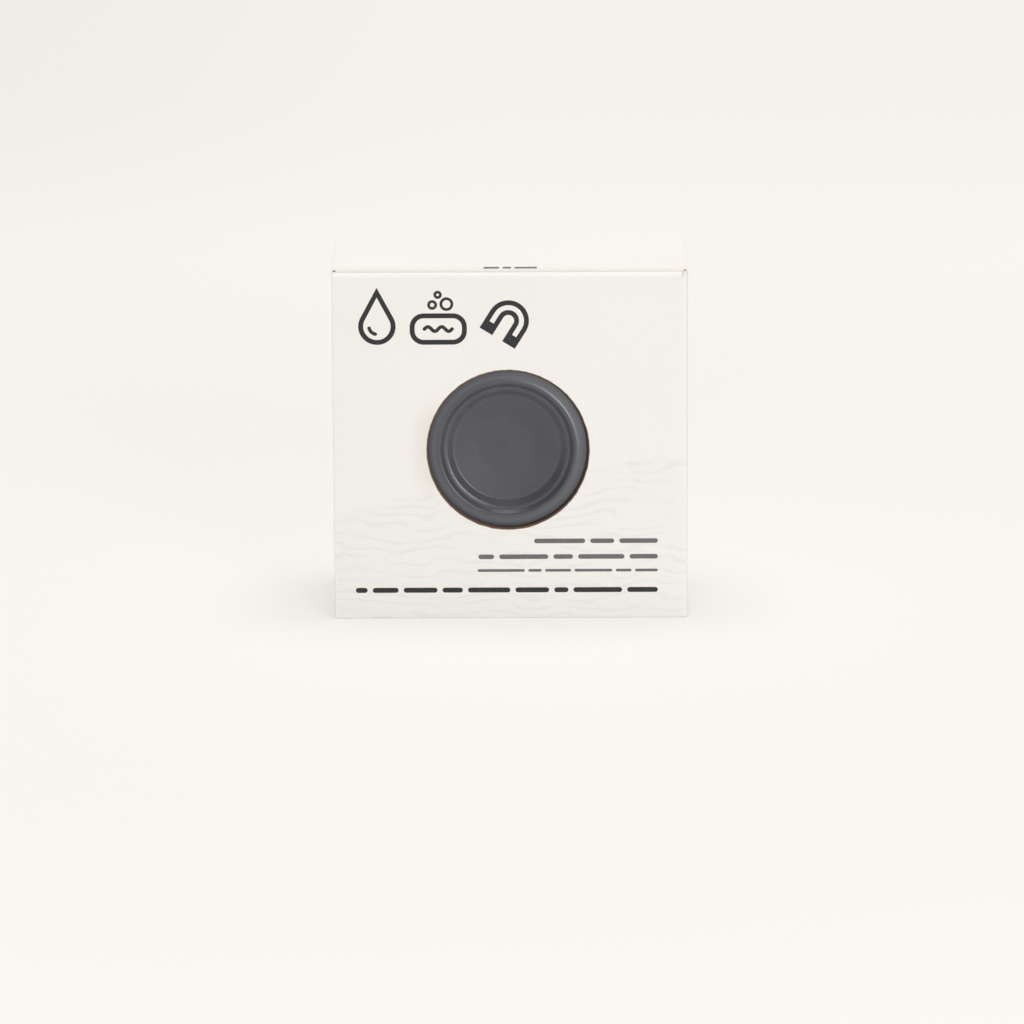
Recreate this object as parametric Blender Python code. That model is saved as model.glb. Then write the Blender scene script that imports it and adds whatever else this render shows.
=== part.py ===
"""Magnetic soap holder, packed in its folding carton with a round window.

The carton is folded board: a sleeve with a window, a hinged lid with a tuck flap,
two dust flaps under it and a glued bottom.  A folded card saddle inside carries the
moulded holder by its neck.  The holder's round dish lies behind the window.  A pot
magnet sits behind the dish floor, held by a back plate with an adhesive pad, and a
toothed steel plate for the soap is stored under the neck.

Units are metres.  +Z is up, the front with the window faces -Y, and the origin is
the middle of the carton's base.
"""
import math

import bmesh
import bpy
from mathutils import Vector

# Clearances that all pieces share
touch_gap = 0.0003
cut_overrun = 0.002

# Board and outer size of the carton
board = 0.0008
carton_width = 0.090
carton_depth = 0.045
lid_top = 0.0911
crease_radius = 0.0014

# Front panel: its top edge is rolled back a little over the lid's tuck
front_top_drop = 0.0019
roll_radius = 0.0013
roll_angle = math.radians(70)

# Round window in the front panel
window_radius = 0.0202
window_x = -0.0007
window_height_share = 0.4841

# Lid and its tuck flap
lid_side_inset = 0.0007
shoulder_radius = 0.0019
shoulder_angle = math.radians(60)
tuck_setback = 0.0019
tuck_length = 0.0130
tuck_lean = math.radians(15.5)
tuck_side_inset = 0.0014
tuck_corner_radius = 0.0080

# Dust flaps under the lid
dust_flap_length = 0.0270
dust_flap_front_inset = 0.0045
dust_flap_back_inset = 0.0024
dust_flap_back_taper_share = 0.52
dust_flap_front_taper = 0.0030

# Glue flap inside the front panel's left edge
glue_flap_width = 0.0110
glue_flap_end_inset = 0.0055
glue_flap_taper = 0.0035

# Bottom flaps, glued
bottom_inner_length = 0.0340
bottom_dust_length = 0.0300
bottom_dust_side_inset = 0.0020

# Card saddle that carries the holder
saddle_shelf_rise = 0.0172
saddle_fold_radius = 0.0012

# Holder body, measured along its axis from the rim that faces the window
rim_gap = 0.0008
holder_offset_x = -0.0002
holder_offset_z = -0.0003
holder_back_room = 0.0058
head_radius = 0.0240
head_shoulder_radius = 0.0040
head_side_depth = 0.0062
head_depth = 0.0105
head_back_radius = 0.0160
neck_radius = 0.0130
flange_radius = 0.0220
flange_thickness = 0.0043
flange_edge_radius = 0.0012

# Dish: outer slope, land, ledge and floor
land_outer_radius = 0.0181
land_inner_radius = 0.0170
slope_end_radius = 0.0208
slope_drop = 0.0007
ledge_outer_radius = 0.0161
ledge_inner_radius = 0.0152
ledge_depth = 0.0010
dish_floor_radius = 0.0141
dish_floor_depth = 0.0026
dish_floor_wall = 0.0016
land_edge_radius = 0.0003
ledge_edge_radius = 0.0004
floor_edge_radius = 0.0005

# Pot magnet behind the dish floor
cup_radius = 0.0115
cup_length = 0.0065
cup_wall = 0.0015
magnet_edge_radius = 0.0004

# Back plate, adhesive pad and its liner
back_plate_radius = 0.0190
back_plate_thickness = 0.0015
back_plate_tube_wall = 0.0018
pad_radius = 0.0185
pad_thickness = 0.0010
liner_radius = 0.0188
liner_thickness = 0.0003
liner_tab_width = 0.0100
liner_tab_length = 0.0050

# Toothed steel plate that is pressed into the soap
soap_plate_neck_gap = 0.0004
soap_plate_sheet = 0.0008
soap_plate_tooth_length = 0.0042
soap_plate_teeth = 8

# Facets
corner_steps = 5
fillet_steps = 2
round_steps = 48
window_steps = 64
small_round_steps = 36
slot_steps = 30
steps_per_tooth = 6
fold_bevel_steps = 3
fold_bevel_share = 0.47
round_profile_share = 0.5
fillet_reach_share = 0.45
least_miter_share = 0.5
smooth_angle = math.radians(35)

half_width = carton_width / 2
half_depth = carton_depth / 2
inner_half_width = half_width - board
inner_half_depth = half_depth - board
clear_half_width = half_width - crease_radius


def make_material(name, colour, roughness, metallic=0.0):
    """A plain Principled material."""
    material = bpy.data.materials.new(name)
    material.use_nodes = True
    shader = material.node_tree.nodes["Principled BSDF"]
    shader.inputs["Base Color"].default_value = (*colour, 1.0)
    shader.inputs["Roughness"].default_value = roughness
    shader.inputs["Metallic"].default_value = metallic
    return material


def make_pivot(name, location, rotation=(0.0, 0.0, 0.0), parent=None):
    """An empty on a joint's axis, or where a group of pieces is centred."""
    pivot = bpy.data.objects.new(name, None)
    pivot.location = location
    pivot.rotation_euler = rotation
    pivot.parent = parent
    bpy.context.scene.collection.objects.link(pivot)
    return pivot


def add_piece(name, mesh_data, material, location=(0.0, 0.0, 0.0), rotation=(0.0, 0.0, 0.0), parent=None):
    """Turn a bmesh into a named object with its material, shaded smooth over its arcs."""
    bmesh.ops.recalc_face_normals(mesh_data, faces=mesh_data.faces)
    mesh = bpy.data.meshes.new(name)
    mesh_data.to_mesh(mesh)
    mesh_data.free()
    mesh.shade_smooth()
    mesh.set_sharp_from_angle(angle=smooth_angle)
    piece = bpy.data.objects.new(name, mesh)
    piece.data.materials.append(material)
    piece.location = location
    piece.rotation_euler = rotation
    piece.parent = parent
    bpy.context.scene.collection.objects.link(piece)
    return piece


def cut_piece(piece, cutter):
    """Subtract a cutter from a piece, and mark the cutter as a helper."""
    cutter.hide_render = True
    cutter.display_type = "WIRE"
    cut = piece.modifiers.new("cut_" + cutter.name, "BOOLEAN")
    cut.operation = "DIFFERENCE"
    cut.solver = "EXACT"
    cut.object = cutter


def arc_points(centre, radius, start, end, steps):
    """Points of an arc in the plane, both ends included."""
    points = []
    for step in range(steps + 1):
        angle = start + (end - start) * step / steps
        points.append((centre[0] + radius * math.cos(angle), centre[1] + radius * math.sin(angle)))
    return points


def rounded_path(corners, steps):
    """Points along straight runs whose corners (a, b, fillet) are rounded where the runs allow."""
    points = [corners[0][:2]]
    for before, corner, after in zip(corners, corners[1:], corners[2:]):
        here = Vector(corner[:2])
        back = Vector(before[:2]) - here
        ahead = Vector(after[:2]) - here
        half_angle = back.angle(ahead) / 2
        reach = min(corner[2] / math.tan(half_angle), back.length * fillet_reach_share,
                    ahead.length * fillet_reach_share)
        if reach <= 0:
            points.append(corner[:2])
            continue
        start = here + back.normalized() * reach
        middle = here + (back.normalized() + ahead.normalized()).normalized() * reach / math.cos(half_angle)
        spoke = start - middle
        first_angle = math.atan2(spoke.y, spoke.x)
        turn = math.copysign(math.pi - 2 * half_angle, ahead.x * back.y - ahead.y * back.x)
        points += arc_points(middle, spoke.length, first_angle, first_angle + turn, steps)
    points.append(corners[-1][:2])
    return points


def strip_outline(path, thickness, round_start=False):
    """Closed outline of a bent strip whose middle follows a path in the plane."""
    left, right = [], []
    for index, point in enumerate(path):
        before = Vector(path[max(index - 1, 0)])
        after = Vector(path[min(index + 1, len(path) - 1)])
        here = Vector(point)
        incoming = (here - before).normalized() if index else (after - here).normalized()
        outgoing = (after - here).normalized() if index < len(path) - 1 else incoming
        normal = Vector((-incoming.y - outgoing.y, incoming.x + outgoing.x)).normalized()
        stretch = 1 / max(normal.dot(Vector((-incoming.y, incoming.x))), least_miter_share)
        left.append(tuple(here + normal * thickness / 2 * stretch))
        right.append(tuple(here - normal * thickness / 2 * stretch))
    cap = []
    if round_start:
        first = Vector(path[0])
        heading = (Vector(path[1]) - first).normalized()
        start_angle = math.atan2(-heading.x, heading.y)
        cap = arc_points(first, thickness / 2, start_angle, start_angle - math.pi, 2 * fillet_steps)[1:-1]
    return left + right[::-1] + cap


def extrude_outline(outline, low, high):
    """Prism whose outline lies in the local YZ plane, from one X to another."""
    body = bmesh.new()
    near = body.faces.new([body.verts.new((low, a, b)) for a, b in outline])
    grown = bmesh.ops.extrude_face_region(body, geom=[near])
    moved = [item for item in grown["geom"] if isinstance(item, bmesh.types.BMVert)]
    bmesh.ops.translate(body, verts=moved, vec=(high - low, 0.0, 0.0))
    return body


def board_plate(outline, thickness, fold_round=False):
    """Flat plate in the local XY plane, centred on Z = 0, its fold along the X axis.

    With fold_round, the edge along the fold runs half a thickness past the axis and is rounded.
    """
    if fold_round:
        outline = [(x, y - thickness / 2 if y == 0 else y) for x, y in outline]
    body = bmesh.new()
    under = body.faces.new([body.verts.new((x, y, -thickness / 2)) for x, y in outline])
    grown = bmesh.ops.extrude_face_region(body, geom=[under])
    moved = [item for item in grown["geom"] if isinstance(item, bmesh.types.BMVert)]
    bmesh.ops.translate(body, verts=moved, vec=(0.0, 0.0, thickness))
    if fold_round:
        fold_line = -thickness / 2
        along = [
            edge for edge in body.edges
            if all(math.isclose(end.co.y, fold_line, rel_tol=1e-4) for end in edge.verts)
            and abs(edge.verts[0].co.z - edge.verts[1].co.z) < thickness / 2
        ]
        bmesh.ops.recalc_face_normals(body, faces=body.faces)
        bmesh.ops.bevel(
            body, geom=along, offset=thickness * fold_bevel_share, segments=fold_bevel_steps,
            profile=round_profile_share, affect="EDGES"
        )
    return body


def turned_body(profile, steps, closed=False):
    """Body turned about the local Y axis from (radius, y) points; zero radius closes an end."""
    body = bmesh.new()
    rings = []
    for radius, along in profile:
        if radius == 0:
            rings.append([body.verts.new((0.0, along, 0.0))])
            continue
        ring = []
        for step in range(steps):
            angle = 2 * math.pi * step / steps
            ring.append(body.verts.new((radius * math.cos(angle), along, radius * math.sin(angle))))
        rings.append(ring)
    pairs = list(zip(rings, rings[1:]))
    if closed:
        pairs.append((rings[-1], rings[0]))
    for first, second in pairs:
        for step in range(steps):
            following = (step + 1) % steps
            corners = [first[step % len(first)], first[following % len(first)],
                       second[following % len(second)], second[step % len(second)]]
            unique = list(dict.fromkeys(corners))
            if len(unique) > 2:
                body.faces.new(unique)
    return body


# Levels of the carton's folds, from the lid down
front_top = lid_top - front_top_drop
window_z = lid_top * window_height_share
lid_axis_y = half_depth - board / 2
lid_axis_z = lid_top - board / 2
back_panel_top = lid_axis_z - board / 2 - touch_gap
dust_axis_x = half_width - board / 2
dust_axis_z = lid_top - board - touch_gap - board / 2
side_panel_top = dust_axis_z - board / 2 - touch_gap
roll_start = front_top - roll_radius
sleeve_bottom = board + touch_gap
packing_floor = 3 * board + 2 * touch_gap


def make_sleeve(board_white):
    """Four panels round the carton, from one board, with the window cut in the front."""
    corners = [
        ((half_width - crease_radius, -half_depth + crease_radius), "front_corner", "side"),
        ((half_width - crease_radius, half_depth - crease_radius), "back_corner", "back"),
        ((-half_width + crease_radius, half_depth - crease_radius), "back_corner", "side"),
        ((-half_width + crease_radius, -half_depth + crease_radius), "front_corner", "front"),
    ]
    stations, labels = [], []
    for index, (centre, corner_label, flat_label) in enumerate(corners):
        start = (index - 1) * math.pi / 2
        stations += arc_points(centre, crease_radius, start, start + math.pi / 2, corner_steps)
        labels += [corner_label] * corner_steps + [flat_label]
    levels = [sleeve_bottom, roll_start, side_panel_top, back_panel_top]
    top_level = {"front": 1, "front_corner": 1, "side": 2, "back_corner": 2, "back": 3}

    sheet = bmesh.new()
    columns = [[sheet.verts.new((x, y, z)) for z in levels] for x, y in stations]
    for index, label in enumerate(labels):
        here, there = columns[index], columns[(index + 1) % len(columns)]
        for level in range(top_level[label]):
            sheet.faces.new((here[level], there[level], there[level + 1], here[level + 1]))
        if label == "front":
            low = (here[1], there[1])
            for step in range(1, corner_steps + 1):
                angle = roll_angle * step / corner_steps
                y = -half_depth + roll_radius * (1 - math.cos(angle))
                z = roll_start + roll_radius * math.sin(angle)
                high = [sheet.verts.new((end.co.x, y, z)) for end in low]
                sheet.faces.new((low[0], low[1], high[1], high[0]))
                low = high
    loose = [vertex for vertex in sheet.verts if not vertex.link_faces]
    bmesh.ops.delete(sheet, geom=loose, context="VERTS")
    sleeve = add_piece("carton_sleeve", sheet, board_white)
    wall = sleeve.modifiers.new("board", "SOLIDIFY")
    wall.thickness = board
    wall.offset = -1.0
    wall.use_even_offset = True

    front_cut = board + 2 * cut_overrun
    opening = turned_body([(0.0, 0.0), (window_radius, 0.0), (window_radius, front_cut), (0.0, front_cut)],
                          window_steps)
    cutter = add_piece("window_cutter", opening, board_white,
                       location=(window_x, -half_depth - cut_overrun, window_z))
    cut_piece(sleeve, cutter)


def make_glue_flap(board_white):
    """Seam strip with tapered ends, glued behind the left edge of the front panel."""
    low, high = glue_flap_end_inset, front_top - glue_flap_end_inset
    outline = [
        (0.0, low),
        (glue_flap_width, low + glue_flap_taper),
        (glue_flap_width, high - glue_flap_taper),
        (0.0, high),
    ]
    add_piece("glue_flap", board_plate(outline, board), board_white,
              location=(-clear_half_width, -inner_half_depth + touch_gap + board / 2, 0.0),
              rotation=(math.pi / 2, 0.0, 0.0))


def make_lid(board_white):
    """Lid panel with its rounded front shoulder, and the tuck flap that folds from it."""
    lid_pivot = make_pivot("lid_hinge", (0.0, lid_axis_y, lid_axis_z))
    shoulder_middle = shoulder_radius - board / 2
    tuck_axis_y = -half_depth + tuck_setback
    reach = touch_gap + board / 2
    shoulder_end_y = tuck_axis_y + reach * math.cos(shoulder_angle)
    shoulder_centre_y = shoulder_end_y + shoulder_middle * math.sin(shoulder_angle)
    shoulder_centre_z = lid_top - shoulder_radius
    shoulder = arc_points(
        (shoulder_centre_y - lid_axis_y, shoulder_centre_z - lid_axis_z), shoulder_middle,
        math.pi / 2, math.pi / 2 + shoulder_angle, corner_steps,
    )
    outline = strip_outline([(0.0, 0.0)] + shoulder, board, round_start=True)
    lid_half_width = half_width - lid_side_inset
    add_piece("lid_panel", extrude_outline(outline, -lid_half_width, lid_half_width), board_white,
              parent=lid_pivot)

    tuck_axis_z = (shoulder_centre_z + shoulder_middle * math.cos(shoulder_angle)
                   - reach * math.sin(shoulder_angle))
    tuck_pivot = make_pivot("tuck_fold", (0.0, tuck_axis_y - lid_axis_y, tuck_axis_z - lid_axis_z),
                            parent=lid_pivot)
    tuck_half_width = half_width - tuck_side_inset
    right_corner = arc_points((tuck_half_width - tuck_corner_radius, tuck_length - tuck_corner_radius),
                              tuck_corner_radius, 0.0, math.pi / 2, corner_steps)
    left_corner = [(-x, y) for x, y in reversed(right_corner)]
    outline = [(-tuck_half_width, 0.0), (tuck_half_width, 0.0)] + right_corner + left_corner
    add_piece("lid_tuck_flap", board_plate(outline, board, fold_round=True), board_white,
              rotation=(tuck_lean - math.pi / 2, 0.0, 0.0), parent=tuck_pivot)


def make_dust_flaps(board_white):
    """Two flaps on the side panels' top folds, tapered at the back to clear the rising lid."""
    front_edge = -half_depth + dust_flap_front_inset
    back_edge = half_depth - dust_flap_back_inset
    outline = [
        (front_edge, 0.0),
        (back_edge, 0.0),
        (back_edge - dust_flap_length * dust_flap_back_taper_share, dust_flap_length),
        (front_edge + dust_flap_front_taper, dust_flap_length),
    ]
    for name, side in (("dust_flap_left", -1), ("dust_flap_right", 1)):
        pivot = make_pivot(name + "_hinge", (side * dust_axis_x, 0.0, dust_axis_z),
                           rotation=(0.0, 0.0, side * math.pi / 2))
        points = [(side * x, y) for x, y in outline]
        add_piece(name, board_plate(points, board, fold_round=True), board_white, parent=pivot)


def make_bottom(board_white):
    """Glued bottom: an outer flap over an inner flap, with two dust flaps inside."""
    outer_half_width = half_width - lid_side_inset
    outer_length = carton_depth - board - touch_gap
    outline = [(-outer_half_width, 0.0), (outer_half_width, 0.0),
               (outer_half_width, outer_length), (-outer_half_width, outer_length)]
    add_piece("bottom_outer_flap", board_plate(outline, board, fold_round=True), board_white,
              location=(0.0, -half_depth + board / 2, board / 2))

    outline = [(-clear_half_width, 0.0), (clear_half_width, 0.0),
               (clear_half_width, bottom_inner_length), (-clear_half_width, bottom_inner_length)]
    add_piece("bottom_inner_flap", board_plate(outline, board), board_white,
              location=(0.0, inner_half_depth - touch_gap, board + touch_gap + board / 2),
              rotation=(0.0, 0.0, math.pi))

    dust_half_length = inner_half_depth - bottom_dust_side_inset
    outline = [(-dust_half_length, 0.0), (dust_half_length, 0.0),
               (dust_half_length, bottom_dust_length), (-dust_half_length, bottom_dust_length)]
    for name, side in (("bottom_dust_flap_left", -1), ("bottom_dust_flap_right", 1)):
        add_piece(name, board_plate(outline, board), board_white,
                  location=(side * (inner_half_width - touch_gap), 0.0, packing_floor - board / 2),
                  rotation=(0.0, 0.0, side * math.pi / 2))


# Places along the holder's axis: the rim lies just behind the front panel
holder_x = window_x + holder_offset_x
holder_z = window_z + holder_offset_z
saddle_shelf_z = holder_z + saddle_shelf_rise
rim_y = -inner_half_depth + rim_gap
head_back_y = rim_y + head_depth
flange_back_y = inner_half_depth - holder_back_room
flange_front_y = flange_back_y - flange_thickness
cavity_front_y = rim_y + dish_floor_depth + dish_floor_wall
cavity_radius = cup_radius + touch_gap
cup_front_y = cavity_front_y + touch_gap
cup_back_y = cup_front_y + cup_length
back_plate_back_y = flange_back_y - touch_gap
back_plate_front_y = back_plate_back_y - back_plate_thickness
recess_y = back_plate_front_y - touch_gap
recess_radius = back_plate_radius + touch_gap


def make_saddle(card):
    """Folded card bridge with two feet, slotted from above for the holder's neck."""
    foot_z = packing_floor + touch_gap + board / 2
    end_y = inner_half_depth - touch_gap
    front_wall_y = head_back_y + touch_gap + board / 2
    back_wall_y = flange_front_y - touch_gap - board / 2
    path = rounded_path([
        (-end_y, foot_z, 0.0),
        (front_wall_y, foot_z, saddle_fold_radius),
        (front_wall_y, saddle_shelf_z, saddle_fold_radius),
        (back_wall_y, saddle_shelf_z, saddle_fold_radius),
        (back_wall_y, foot_z, saddle_fold_radius),
        (end_y, foot_z, 0.0),
    ], fillet_steps)
    bridge = extrude_outline(strip_outline(path, board), -clear_half_width, clear_half_width)
    saddle = add_piece("card_saddle", bridge, card)

    slot_radius = neck_radius + touch_gap
    slot_top = saddle_shelf_z - holder_z + cut_overrun
    slot = arc_points((0.0, 0.0), slot_radius, math.pi, 2 * math.pi, slot_steps)
    slot = [(-slot_radius, slot_top)] + slot + [(slot_radius, slot_top)]
    slot_length = back_wall_y - front_wall_y + 2 * cut_overrun
    cutter = add_piece("neck_slot_cutter", board_plate(slot, slot_length), card,
                       location=(holder_x, (front_wall_y + back_wall_y) / 2, holder_z),
                       rotation=(math.pi / 2, 0.0, 0.0))
    cut_piece(saddle, cutter)


def make_holder(plastic, steel, magnet_metal, foam, liner_paper):
    """Moulded holder with its pot magnet, back plate, adhesive pad and liner."""
    lift = make_pivot("holder_lift", (holder_x, 0.0, holder_z))
    floor_y = rim_y + dish_floor_depth
    ledge_y = rim_y + ledge_depth
    shoulder_back_y = rim_y + slope_drop + head_shoulder_radius
    profile = rounded_path([
        (0.0, floor_y, 0.0),
        (dish_floor_radius, floor_y, floor_edge_radius),
        (ledge_inner_radius, ledge_y, ledge_edge_radius),
        (ledge_outer_radius, ledge_y, land_edge_radius),
        (land_inner_radius, rim_y, land_edge_radius),
        (land_outer_radius, rim_y, land_edge_radius),
        (slope_end_radius, rim_y + slope_drop, slope_drop),
        (head_radius - slope_drop, (rim_y + slope_drop + shoulder_back_y) / 2, slope_drop),
        (head_radius, shoulder_back_y, slope_drop),
        (head_radius, rim_y + head_side_depth, flange_edge_radius),
        (head_back_radius, head_back_y, flange_edge_radius),
        (neck_radius, head_back_y, 0.0),
        (neck_radius, flange_front_y, 0.0),
        (flange_radius, flange_front_y, flange_edge_radius),
        (flange_radius, flange_back_y, flange_edge_radius),
        (recess_radius, flange_back_y, 0.0),
        (recess_radius, recess_y, 0.0),
        (cavity_radius, recess_y, 0.0),
        (cavity_radius, cavity_front_y, 0.0),
        (0.0, cavity_front_y, 0.0),
    ], fillet_steps)
    add_piece("holder_body", turned_body(profile, round_steps), plastic, parent=lift)

    cup_inner_radius = cup_radius - cup_wall
    cup_floor_y = cup_back_y - cup_wall
    profile = [(0.0, cup_floor_y), (cup_inner_radius, cup_floor_y), (cup_inner_radius, cup_front_y),
               (cup_radius, cup_front_y), (cup_radius, cup_back_y), (0.0, cup_back_y)]
    add_piece("magnet_cup", turned_body(profile, small_round_steps), steel, parent=lift)

    magnet_radius = cup_inner_radius - touch_gap
    magnet_back_y = cup_floor_y - touch_gap
    profile = rounded_path([
        (0.0, cup_front_y, 0.0),
        (magnet_radius, cup_front_y, magnet_edge_radius),
        (magnet_radius, magnet_back_y, magnet_edge_radius),
        (0.0, magnet_back_y, 0.0),
    ], fillet_steps)
    add_piece("magnet", turned_body(profile, small_round_steps), magnet_metal, parent=lift)

    tube_radius = cavity_radius - touch_gap
    tube_front_y = cup_back_y + touch_gap
    tube_inner_radius = tube_radius - back_plate_tube_wall
    profile = [(0.0, back_plate_back_y), (back_plate_radius, back_plate_back_y),
               (back_plate_radius, back_plate_front_y), (tube_radius, back_plate_front_y),
               (tube_radius, tube_front_y), (tube_inner_radius, tube_front_y),
               (tube_inner_radius, back_plate_front_y), (0.0, back_plate_front_y)]
    add_piece("back_plate", turned_body(profile, small_round_steps), plastic, parent=lift)

    pad_front_y = back_plate_back_y + touch_gap
    pad_back_y = pad_front_y + pad_thickness
    profile = [(0.0, pad_front_y), (pad_radius, pad_front_y), (pad_radius, pad_back_y), (0.0, pad_back_y)]
    add_piece("adhesive_pad", turned_body(profile, small_round_steps), foam, parent=lift)

    tab_half_width = liner_tab_width / 2
    tab_angle = math.asin(tab_half_width / liner_radius)
    tab_top = liner_radius + liner_tab_length
    outline = arc_points((0.0, 0.0), liner_radius, math.pi / 2 + tab_angle,
                         5 * math.pi / 2 - tab_angle, small_round_steps)
    outline += [(tab_half_width, tab_top), (-tab_half_width, tab_top)]
    add_piece("release_liner", board_plate(outline, liner_thickness), liner_paper,
              location=(0.0, pad_back_y + touch_gap + liner_thickness / 2, 0.0),
              rotation=(math.pi / 2, 0.0, 0.0), parent=lift)


def make_soap_plate(steel):
    """Steel disc with a ring of bent teeth, standing under the neck behind the saddle's front wall."""
    front_y = head_back_y + touch_gap + board + touch_gap
    lowest_z = packing_floor + touch_gap + board + touch_gap
    highest_z = holder_z - neck_radius - soap_plate_neck_gap
    soap_plate_radius = (highest_z - lowest_z) / 2
    centre_z = (highest_z + lowest_z) / 2
    lift = make_pivot("soap_plate_lift", (holder_x, front_y, centre_z))
    inner_radius = soap_plate_radius - soap_plate_sheet
    steps = soap_plate_teeth * steps_per_tooth
    body = bmesh.new()
    front_centre = body.verts.new((0.0, 0.0, 0.0))
    back_centre = body.verts.new((0.0, soap_plate_sheet, 0.0))
    rings = []
    for step in range(steps):
        angle = 2 * math.pi * step / steps
        rise = 1 - abs(2 * (step % steps_per_tooth) / steps_per_tooth - 1)
        tip = soap_plate_sheet + soap_plate_sheet + soap_plate_tooth_length * rise
        places = ((soap_plate_radius, 0.0), (soap_plate_radius, tip), (inner_radius, tip),
                  (inner_radius, soap_plate_sheet))
        rings.append([body.verts.new((radius * math.cos(angle), along, radius * math.sin(angle)))
                      for radius, along in places])
    for step in range(steps):
        here, there = rings[step], rings[(step + 1) % steps]
        body.faces.new((front_centre, here[0], there[0]))
        for first in range(len(here) - 1):
            body.faces.new((here[first], here[first + 1], there[first + 1], there[first]))
        body.faces.new((back_centre, there[-1], here[-1]))
    add_piece("soap_plate", body, steel, parent=lift)


def build():
    """Clear the scene and make every piece."""
    for old in list(bpy.data.objects):
        bpy.data.objects.remove(old, do_unlink=True)
    board_white = make_material("white_board", (0.83, 0.80, 0.75), 0.75)
    card = make_material("saddle_card", (0.79, 0.77, 0.72), 0.80)
    plastic = make_material("slate_plastic", (0.100, 0.102, 0.112), 0.50)
    steel = make_material("zinc_plated_steel", (0.56, 0.56, 0.55), 0.32, metallic=1.0)
    magnet_metal = make_material("nickel_plated_magnet", (0.62, 0.61, 0.58), 0.22, metallic=1.0)
    foam = make_material("white_foam", (0.72, 0.72, 0.70), 0.90)
    liner_paper = make_material("liner_paper", (0.42, 0.50, 0.56), 0.55)

    make_sleeve(board_white)
    make_glue_flap(board_white)
    make_lid(board_white)
    make_dust_flaps(board_white)
    make_bottom(board_white)
    make_saddle(card)
    make_holder(plastic, steel, magnet_metal, foam, liner_paper)
    make_soap_plate(steel)


build()
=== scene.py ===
import math

import bmesh
import bpy
from mathutils import Matrix, Vector


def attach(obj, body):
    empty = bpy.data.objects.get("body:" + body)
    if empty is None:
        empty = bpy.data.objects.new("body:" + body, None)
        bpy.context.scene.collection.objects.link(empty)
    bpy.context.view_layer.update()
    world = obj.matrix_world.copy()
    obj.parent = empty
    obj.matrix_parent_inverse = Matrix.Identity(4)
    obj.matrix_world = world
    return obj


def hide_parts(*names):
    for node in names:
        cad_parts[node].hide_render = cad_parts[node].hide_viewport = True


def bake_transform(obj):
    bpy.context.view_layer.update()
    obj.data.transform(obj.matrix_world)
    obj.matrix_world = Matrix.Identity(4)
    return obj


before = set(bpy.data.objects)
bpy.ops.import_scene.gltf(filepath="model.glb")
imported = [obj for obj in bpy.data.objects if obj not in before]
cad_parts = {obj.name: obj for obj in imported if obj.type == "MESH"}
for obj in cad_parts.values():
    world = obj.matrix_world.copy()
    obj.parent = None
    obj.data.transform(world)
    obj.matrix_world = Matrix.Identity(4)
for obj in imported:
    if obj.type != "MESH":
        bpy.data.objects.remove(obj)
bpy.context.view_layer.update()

# Carton sleeve: one blank of white folding board, laser cut and creased, wrapped round into
# four panels. The front panel has the round window, its top edge is rolled back, and its
# bottom edge folds under. The laser has scorched the window's rim brown.
board = 0.0008
cut_edge_round = 0.00012
ink_room = 0.00003
corner_x = 0.0436
seam_x = -0.0449
outer_y = 0.0225
corner_bend = 0.0010
corner_slit = 0.00004
corner_step = 0.0020
corner_kept = 0.0011
side_top_z, side_base_z = 0.0889, 0.0010
corner_top_z, corner_base_z = 0.0897, 0.0003
back_top_z = 0.0900
roll_start_z = 0.0884
roll_bend = 0.0009
roll_angle = math.radians(88)
fold_start_z = 0.00055
fold_bend = 0.00015
fold_squareness = 0.55
edge_margin, inner_margin, end_margin = 0.0004, 0.0020, 0.0038
column_margin, panel_margin = 0.0040, 0.0030
seam_low_z, seam_high_z, seam_steps = 0.0066, 0.0834, 34
window_radius, window_face_radius = 0.0202, 0.02055
window_x, window_z = -0.0006, 0.04394
glue_room = 0.00005
same_spot, edge_room = 1e-6, 1e-5
quarter = math.pi / 2


def spread(start, end, steps):
    """Evenly spaced numbers, both ends included."""
    return [start + (end - start) * step / steps for step in range(steps + 1)]


def follow(path, distance):
    """Where a board's middle line is after a distance along its runs and bends, and its heading."""
    (across, along), heading, legs = path
    for length, turn in legs:
        step = min(distance, length)
        if turn:
            radius = length / turn
            across += radius * (math.sin(heading + step / radius) - math.sin(heading))
            along -= radius * (math.cos(heading + step / radius) - math.cos(heading))
            heading += step / radius
        else:
            across += step * math.cos(heading)
            along += step * math.sin(heading)
        distance -= step
        if distance <= 0:
            break
    return across, along, heading


def bend(radius, turn=quarter):
    """A leg of a path that turns left at a radius of the board's middle."""
    return radius * abs(turn), turn


def edge_height(corners, around):
    """The height of a panel's edge, which runs straight from corner to corner."""
    for (start, low), (end, high) in zip(corners, corners[1:]):
        if around <= end:
            return low + (high - low) * (around - start) / (end - start)
    return corners[-1][1]


def bridge(blank, first, second):
    """Join two rows of points with faces."""
    for step in range(len(first) - 1):
        blank.faces.new((first[step], first[step + 1], second[step + 1], second[step]))


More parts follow.
